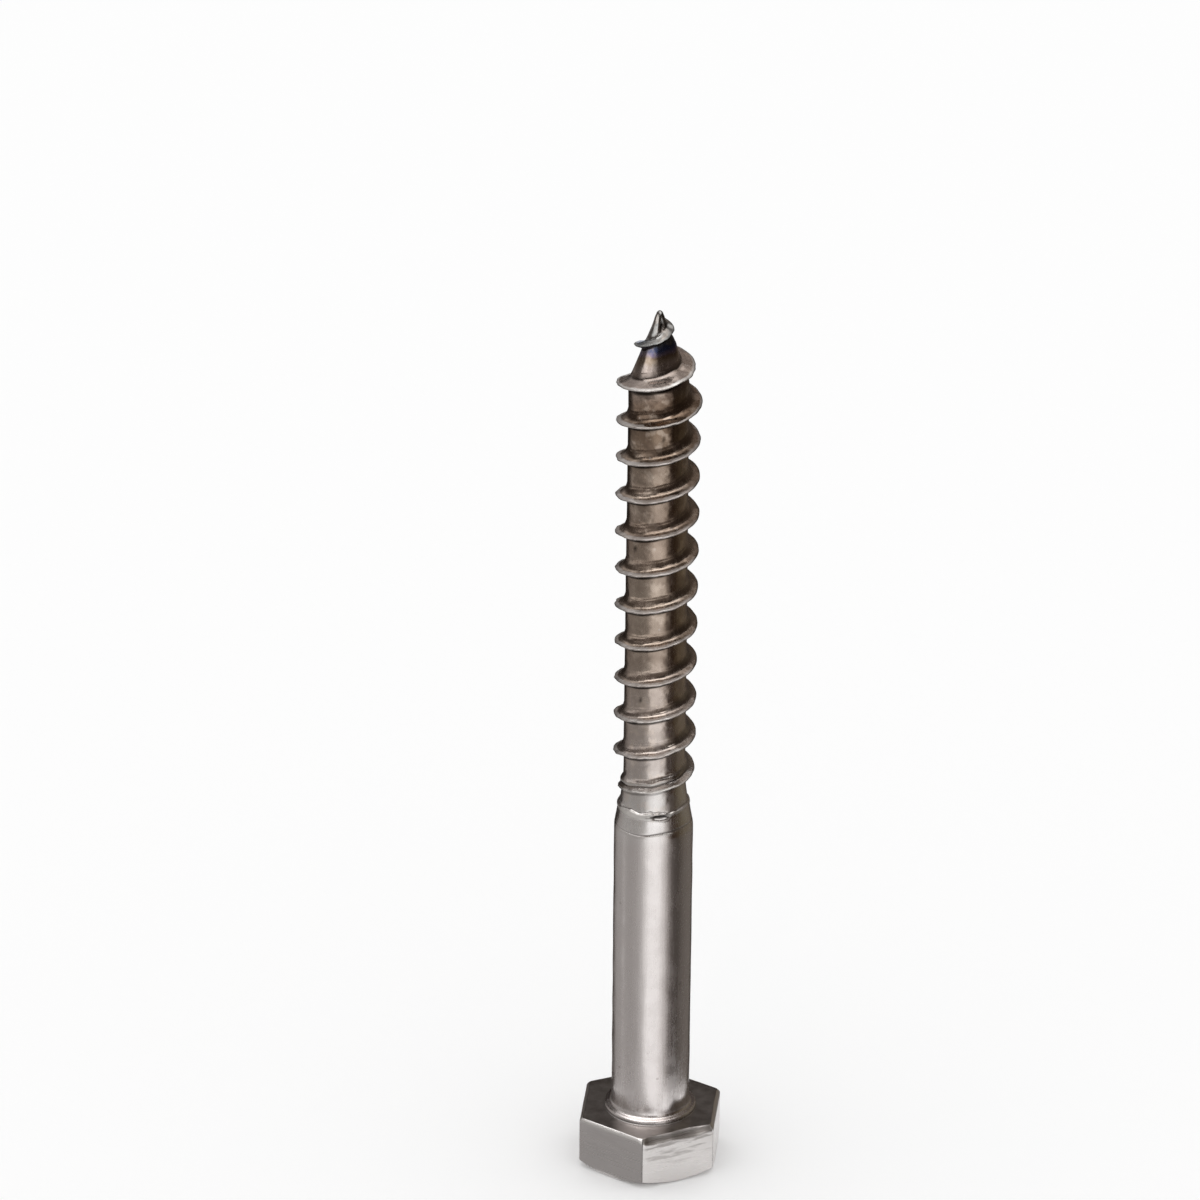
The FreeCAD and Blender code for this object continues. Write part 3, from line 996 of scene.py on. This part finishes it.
# A card runs along rows of distance and height in millimetres. Its keys are degrees right of the camera,
# the colour of its first rows and, where that is another, the colour of its last two.
wallRows = [(15, 0.3), (66, 0.3), (76, 5), (80, 14), (80, 64)]
cards = {
    "leftCard": (wallRows, [
        (-180, (0.05, 0.042, 0.037), (0.02, 0.016, 0.014)),
        (-156, (0.05, 0.042, 0.037), (0.02, 0.016, 0.014)),
        (-146, (0.2, 0.188, 0.182), (0.02, 0.016, 0.014)), (-136, (0.31, 0.298, 0.292), (0.04, 0.034, 0.03)),
        (-130, (0.33, 0.318, 0.312), (0.24, 0.22, 0.21)), (-112, (0.33, 0.318, 0.312), (0.28, 0.265, 0.255)),
        (-102, (0.34, 0.328, 0.322), (0.3, 0.29, 0.28)), (-98, (0.56, 0.55, 0.545), (0.32, 0.31, 0.3)),
        (-94, (0.34, 0.328, 0.322), (0.3, 0.29, 0.28)), (-70, (0.32, 0.308, 0.302), (0.28, 0.27, 0.26)),
        (-48, (0.36, 0.348, 0.342), (0.29, 0.28, 0.27)), (-34, (0.46, 0.45, 0.445), (0.34, 0.33, 0.32)),
        (-24, (0.74, 0.735, 0.73), (0.46, 0.45, 0.44)), (-16, (0.97, 0.97, 0.97), (0.7, 0.69, 0.68))]),
    "rightCard": (wallRows, [
        (18, (0.97, 0.97, 0.97)), (31, (0.72, 0.7, 0.69), (0.78, 0.76, 0.74)),
        (43, (0.44, 0.42, 0.41), (0.24, 0.21, 0.19)), (50, (0.24, 0.22, 0.21), (0.05, 0.035, 0.028)),
        (57, (0.12, 0.107, 0.1), (0.03, 0.018, 0.012)), (68, (0.075, 0.065, 0.06), (0.035, 0.022, 0.015)),
        (84, (0.06, 0.052, 0.046), (0.07, 0.054, 0.035)), (100, (0.12, 0.108, 0.098), (0.13, 0.11, 0.08)),
        (125, (0.145, 0.13, 0.118), (0.15, 0.13, 0.1)), (150, (0.15, 0.135, 0.122), (0.12, 0.1, 0.08)),
        (160, (0.05, 0.042, 0.037), (0.06, 0.05, 0.045)), (180, (0.06, 0.05, 0.045), (0.07, 0.06, 0.055))]),
    "headCard": ([(-1.4, 0.05), (0.5, 0.1), (0.7, 0.1), (1.0, 0.1), (14.6, 0.1)], [
        (-180, (0.33, 0.318, 0.314)), (-20, (0.33, 0.318, 0.314)), (-12, (0.6, 0.6, 0.6))]),
    "highCard": ([(80, 118), (80, 120), (80, 122), (80, 124), (80, 165)], [
        (-22, (0.8, 0.8, 0.8)), (-12, (0.1, 0.08, 0.07)), (0, (0.03, 0.022, 0.018)),
        (120, (0.06, 0.048, 0.04))]),
    "horizon": ([(80, 64), (80, 67), (80, 76), (80, 80)], [
        (-180, (0.03, 0.024, 0.02), (0.02, 0.016, 0.014)), (-130, (0.05, 0.042, 0.037), (0.03, 0.025, 0.02)),
        (-110, (0.7, 0.68, 0.67), (0.75, 0.73, 0.72)), (-40, (0.9, 0.88, 0.87), (0.95, 0.93, 0.92)),
        (0, (1.0, 0.98, 0.96)), (40, (0.6, 0.56, 0.53), (0.5, 0.46, 0.43)),
        (60, (0.06, 0.045, 0.035), (0.05, 0.04, 0.03)), (100, (0.11, 0.095, 0.075), (0.09, 0.08, 0.06)),
        (150, (0.12, 0.1, 0.08), (0.1, 0.085, 0.07)), (180, (0.05, 0.04, 0.035), (0.04, 0.03, 0.025))]),
    "upperWall": ([(80, 80), (80, 86), (80, 106), (80, 114)], [
        (-180, (0.02, 0.016, 0.014)), (-150, (0.1, 0.09, 0.085), (0.34, 0.32, 0.31)),
        (-130, (0.05, 0.04, 0.035), (0.08, 0.07, 0.065)), (-60, (0.14, 0.12, 0.11), (0.17, 0.15, 0.14)),
        (20, (0.16, 0.135, 0.12), (0.17, 0.145, 0.13)), (60, (0.04, 0.03, 0.025), (0.03, 0.022, 0.018)),
        (130, (0.08, 0.065, 0.05), (0.07, 0.055, 0.045)), (160, (0.11, 0.092, 0.075), (0.13, 0.11, 0.09)),
        (180, (0.03, 0.024, 0.02))]),
    "rearRight": ([(80, 114), (80, 116), (80, 128), (80, 136)], [
        (118, (0.07, 0.055, 0.045), (0.1, 0.085, 0.07)), (150, (0.09, 0.075, 0.065), (0.14, 0.12, 0.105)),
        (172, (0.06, 0.05, 0.045), (0.1, 0.088, 0.08))]),
    "lowLight": ([(460, 112), (460, 114), (460, 290), (460, 310)], [
        (-96, (0.1, 0.09, 0.085)), (-80, (1.1, 1.09, 1.08)), (-45, (1.2, 1.19, 1.18)),
        (-22, (0.4, 0.39, 0.38))]),
    "room": ([(500, 90), (500, 140), (500, 520), (500, 640)], [
        (-180, (0.05, 0.04, 0.035), (0.14, 0.125, 0.115)), (-150, (0.4, 0.38, 0.37), (0.85, 0.83, 0.82)),
        (-120, (0.05, 0.04, 0.035), (0.1, 0.088, 0.08)), (-60, (0.1, 0.088, 0.08), (0.14, 0.12, 0.11)),
        (20, (0.1, 0.088, 0.08), (0.14, 0.12, 0.11)), (60, (0.04, 0.032, 0.028), (0.06, 0.05, 0.045)),
        (130, (0.06, 0.05, 0.042), (0.1, 0.085, 0.07)), (155, (0.65, 0.59, 0.55), (0.2, 0.17, 0.15)),
        (180, (0.05, 0.04, 0.035), (0.14, 0.125, 0.115))]),
    "softbox": ([(430, 610), (300, 640), (150, 650), (20, 650)], [
        (-180, (0.5, 0.48, 0.47), (1.8, 1.78, 1.76)), (-150, (1.2, 1.18, 1.17), (1.8, 1.78, 1.76)),
        (-90, (1.9, 1.88, 1.86)), (40, (1.9, 1.88, 1.86)),
        (90, (0.5, 0.46, 0.43), (1.7, 1.65, 1.62)), (150, (0.22, 0.19, 0.17), (1.4, 1.35, 1.3)),
        (180, (0.5, 0.48, 0.47), (1.8, 1.78, 1.76))]),
}
# A narrow dark card stands straight behind the screw.
backCard = {"distance": 80, "reach": 16, "foot": 0.2, "height": 90, "color": (0.062, 0.05, 0.044)}


def makeFloor(s):
    size = s["floorSize"]
    mesh = bpy.data.meshes.new("floor")
    outline = [(-size, -size, 0), (size, -size, 0), (size, size, 0), (-size, size, 0)]
    mesh.from_pydata(outline, [], [(0, 1, 2, 3)])
    mat = newMaterial("paleFloor")
    setInputs(mat.node_tree.links, mat.node_tree.nodes["Principled BSDF"], {
        "Base Color": (*s["floorColor"], 1), "Roughness": s["floorRoughness"], "Specular IOR Level": 0.0})
    mesh.materials.append(mat)
    floor = addPiece("floor", mesh)


def makeSky(s):
    world = bpy.data.worlds.new("softStudio")
    world.use_nodes = True
    setInputs(world.node_tree.links, world.node_tree.nodes["Background"],
              {"Color": (1, 1, 1, 1), "Strength": s["skyStrength"]})
    bpy.context.scene.world = world


def makeCardMaterial():
    tree = newMaterial("dullCard").node_tree
    tree.nodes.remove(tree.nodes["Principled BSDF"])
    shade = addNode(tree, "ShaderNodeAttribute", attribute_name="shade").outputs["Color"]
    glow = addNode(tree, "ShaderNodeEmission", {"Color": shade, "Strength": 1.0}).outputs[0]
    tree.links.new(glow, tree.nodes["Material Output"].inputs["Surface"])


def addCard(name, points, colors, faces):
    mesh = bpy.data.meshes.new(name)
    mesh.from_pydata((np.array(points) * mm).tolist(), [], faces)
    shade = mesh.color_attributes.new("shade", "FLOAT_COLOR", "POINT")
    shade.data.foreach_set("color", np.array(colors).ravel())
    mesh.materials.append(bpy.data.materials["dullCard"])
    card = addPiece(name, mesh)
    for ray in ("camera", "diffuse", "transmission", "shadow", "volume_scatter"):
        setattr(card, "visible_" + ray, False)


def makeCurvedCard(s, name, rows, keys):
    at = [k[0] for k in keys]
    front = 270 + camera["bearing"]
    points, colors = [], []
    for step in np.linspace(at[0], at[-1], s["steps"]):
        bearing, begin = math.radians(front + step), math.radians(front + step / 2)
        for row, (away, height) in enumerate(rows):
            which = 1 if row < len(rows) - 2 else -1
            colors.append([np.interp(step, at, [k[which][i] for k in keys]) for i in range(3)] + [1.0])
            points.append((s["footReach"] * math.cos(begin) + away * math.cos(bearing),
                           s["footReach"] * math.sin(begin) + away * math.sin(bearing), height))
    faces = corners(np.arange(len(points)).reshape(-1, len(rows)))
    addCard(name, points, colors, faces.tolist())


def makeBackCard(s):
    bearing = math.radians(90 + camera["bearing"])
    out = np.array([math.cos(bearing), math.sin(bearing)]) * s["distance"]
    side = np.array([-math.sin(bearing), math.cos(bearing)]) * s["reach"]
    left, right, foot, top = out - side, out + side, s["foot"], s["height"]
    points = [(*left, foot), (*right, foot), (*right, top), (*left, top)]
    addCard("backCard", points, [[*s["color"], 1.0]] * 4, [(0, 1, 2, 3)])


makeFloor(studio)
makeSky(studio)
makeCardMaterial()
for cardName, (cardRows, cardKeys) in cards.items():
    makeCurvedCard(studio, cardName, cardRows, cardKeys)
makeBackCard(backCard)
bpy.context.scene.view_settings.view_transform = "Standard"
print("studio ready")
